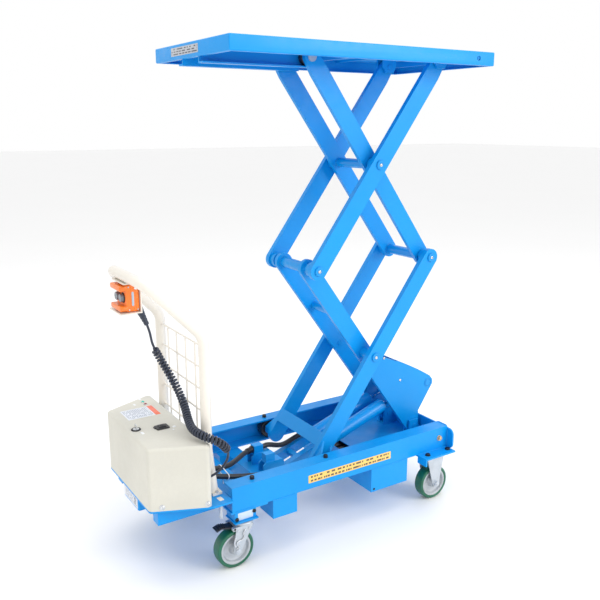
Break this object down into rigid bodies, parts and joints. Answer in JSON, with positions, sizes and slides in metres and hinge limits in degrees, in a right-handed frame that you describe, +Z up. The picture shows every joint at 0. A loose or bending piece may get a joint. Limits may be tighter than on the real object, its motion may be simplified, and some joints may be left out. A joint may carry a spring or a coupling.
{
  "type": "scissor lift table",
  "caption": "Battery-powered double-scissor lift table on casters: platform on two crossed arm stages with twin cylinders, a power unit, a push handle and a hand pendant.",
  "frame": {"origin": "centre of the bounding box, on the floor under the casters", "axes": "+X along the platform towards the fixed-pivot end, away from the push handle; +Z up; -Y is the near side; rest pose is fully raised"},
  "size_m": [1.27, 0.568, 1.62],
  "materials": {
    "blue_paint": "gloss",
    "cream_paint": "satin",
    "zinc": "satin",
    "chrome": "polished",
    "orange_plastic": "satin",
    "black_rubber": "matte",
    "black_plastic": "satin",
    "green_tread": "satin",
    "label": "satin"
  },
  "bodies": {
    "chassis": {"side_rails": "blue_paint", "floor_plates": "blue_paint", "deck": "blue_paint", "cylinder_beam": "blue_paint", "cylinder_clevises": "blue_paint", "battery_tray": "blue_paint", "batteries": "black_plastic", "battery_cover": "blue_paint", "end_plate": "blue_paint", "pivot_brackets": "blue_paint", "caster_mounts": "blue_paint", "chassis_bolts": "zinc", "chassis_labels": "label", "power_cover": "cream_paint", "power_pack": "black_plastic", "charger": "cream_paint", "cover_fittings": "black_plastic", "handle_tube": "cream_paint", "wire_guard": "cream_paint", "pendant_holder": "cream_paint", "pendant_case": "orange_plastic", "cord_boot": "black_rubber", "pendant_cord_top": "black_rubber", "pendant_coil": "black_rubber", "pendant_cord_tail": "black_rubber", "rigid_forks": "zinc", "supply_hose": "black_rubber", "battery_cable": "black_rubber"},
    "key": {"key_switch": "zinc"},
    "raise_key": {"raise_button": "black_plastic"},
    "lower_key": {"lower_button": "black_plastic"},
    "lower_inner": {"lower_inner_arms": "blue_paint", "crank_cover": "blue_paint", "left_mid_tube": "blue_paint", "lower_inner_pins": "zinc"},
    "lower_outer": {"lower_outer_arms": "blue_paint", "lower_outer_tie": "blue_paint", "roller_feet": "blue_paint"},
    "base_roller_pair": {"base_rollers": "zinc"},
    "upper_inner": {"upper_inner_arms": "blue_paint", "right_mid_tube": "blue_paint", "upper_centre_tube": "blue_paint", "top_roller_axles": "zinc"},
    "top_roller_pair": {"top_rollers": "zinc"},
    "upper_outer": {"upper_outer_arms": "blue_paint"},
    "platform": {"platform_pan": "blue_paint", "roller_tracks": "blue_paint", "platform_underframe": "blue_paint", "rating_plate": "label"},
    "barrels": {"cylinder_barrels": "blue_paint", "cylinder_fittings": "black_plastic"},
    "rods": {"cylinder_rods": "chrome"},
    "swivel_near": {"swivel_fork_near": "zinc"},
    "swivel_wheel_near": {"swivel_wheel_near": "green_tread"},
    "rigid_wheel_near": {"rigid_wheel_near": "green_tread"},
    "brake_near": {"brake_pedal_near": "zinc"},
    "swivel_far": {"swivel_fork_far": "zinc"},
    "swivel_wheel_far": {"swivel_wheel_far": "green_tread"},
    "rigid_wheel_far": {"rigid_wheel_far": "green_tread"},
    "brake_far": {"brake_pedal_far": "zinc"}
  },
  "joints": [
    {"name": "lift", "type": "hinge", "parent": "chassis", "child": "lower_inner", "pos_m": [0.488, 0, 0.237], "axis": [0, -1, 0], "range_deg": [0, 48.23]},
    {"name": "lower_centre_pivot", "type": "hinge", "parent": "lower_inner", "child": "lower_outer", "pos_m": [0.242, 0, 0.57475], "axis": [0, -1, 0], "range_deg": [-96.56, 0.1]},
    {"name": "right_mid_pivot", "type": "hinge", "parent": "lower_outer", "child": "upper_inner", "pos_m": [0.488, 0, 0.9125], "axis": [0, -1, 0], "range_deg": [-0.1, 96.56]},
    {"name": "upper_centre_pivot", "type": "hinge", "parent": "upper_inner", "child": "upper_outer", "pos_m": [0.242, 0, 1.25025], "axis": [0, -1, 0], "range_deg": [-96.56, 0.1]},
    {"name": "top_pivot", "type": "hinge", "parent": "upper_outer", "child": "platform", "pos_m": [0.488, 0, 1.588], "axis": [0, -1, 0], "range_deg": [-0.1, 48.33]},
    {"name": "barrel_pivot", "type": "hinge", "parent": "chassis", "child": "barrels", "pos_m": [-0.132, 0, 0.165], "axis": [0, -1, 0], "range_deg": [-0.1, 5.3]},
    {"name": "rod_pivot", "type": "hinge", "parent": "lower_inner", "child": "rods", "pos_m": [0.558, 0, 0.4], "axis": [0, -1, 0], "range_deg": [-43.5, 0.1]},
    {"name": "base_roller_spin", "type": "hinge", "parent": "lower_outer", "child": "base_roller_pair", "pos_m": [-0.004, 0, 0.237], "axis": [0, 1, 0], "continuous": true},
    {"name": "top_roller_spin", "type": "hinge", "parent": "upper_inner", "child": "top_roller_pair", "pos_m": [-0.004, 0, 1.588], "axis": [0, 1, 0], "continuous": true},
    {"name": "key_turn", "type": "hinge", "parent": "chassis", "child": "key", "pos_m": [-0.608, -0.022, 0.455], "axis": [0, 0, 1], "range_deg": [0, 90]},
    {"name": "raise_press", "type": "slide", "parent": "chassis", "child": "raise_key", "axis": [1, 0, 0], "range_m": [0, 0.004], "stiffness_N_per_m": 400, "springref_m": -0.001},
    {"name": "lower_press", "type": "slide", "parent": "chassis", "child": "lower_key", "axis": [1, 0, 0], "range_m": [0, 0.004], "stiffness_N_per_m": 400, "springref_m": -0.001},
    {"name": "swivel_near", "type": "hinge", "parent": "chassis", "child": "swivel_near", "pos_m": [-0.34, -0.214, 0.15], "axis": [0, 0, 1], "continuous": true},
    {"name": "swivel_wheel_spin_near", "type": "hinge", "parent": "swivel_near", "child": "swivel_wheel_near", "pos_m": [-0.374, -0.214, 0.065], "axis": [0, 1, 0], "continuous": true},
    {"name": "rigid_wheel_spin_near", "type": "hinge", "parent": "chassis", "child": "rigid_wheel_near", "pos_m": [0.466, -0.22, 0.065], "axis": [0, 1, 0], "continuous": true},
    {"name": "brake_press_near", "type": "hinge", "parent": "swivel_near", "child": "brake_near", "pos_m": [-0.382, -0.214, 0.141], "axis": [0, -1, 0], "range_deg": [0, 8], "stiffness_Nm_per_rad": 4, "springref_deg": -5.73},
    {"name": "swivel_far", "type": "hinge", "parent": "chassis", "child": "swivel_far", "pos_m": [-0.34, 0.214, 0.15], "axis": [0, 0, 1], "continuous": true},
    {"name": "swivel_wheel_spin_far", "type": "hinge", "parent": "swivel_far", "child": "swivel_wheel_far", "pos_m": [-0.374, 0.214, 0.065], "axis": [0, 1, 0], "continuous": true},
    {"name": "rigid_wheel_spin_far", "type": "hinge", "parent": "chassis", "child": "rigid_wheel_far", "pos_m": [0.466, 0.22, 0.065], "axis": [0, 1, 0], "continuous": true},
    {"name": "brake_press_far", "type": "hinge", "parent": "swivel_far", "child": "brake_far", "pos_m": [-0.382, 0.214, 0.141], "axis": [0, -1, 0], "range_deg": [0, 8], "stiffness_Nm_per_rad": 4, "springref_deg": -5.73}
  ],
  "couplings": [
    {"joint": "lower_centre_pivot", "follows": "lift", "ratio": -2},
    {"joint": "right_mid_pivot", "follows": "lift", "ratio": 2},
    {"joint": "upper_centre_pivot", "follows": "lift", "ratio": -2},
    {"joint": "top_pivot", "follows": "lift", "ratio": 1},
    {"joint": "barrel_pivot", "follows": "lift", "ratio": 0.1},
    {"joint": "rod_pivot", "follows": "lift", "ratio": -0.894}
  ]
}
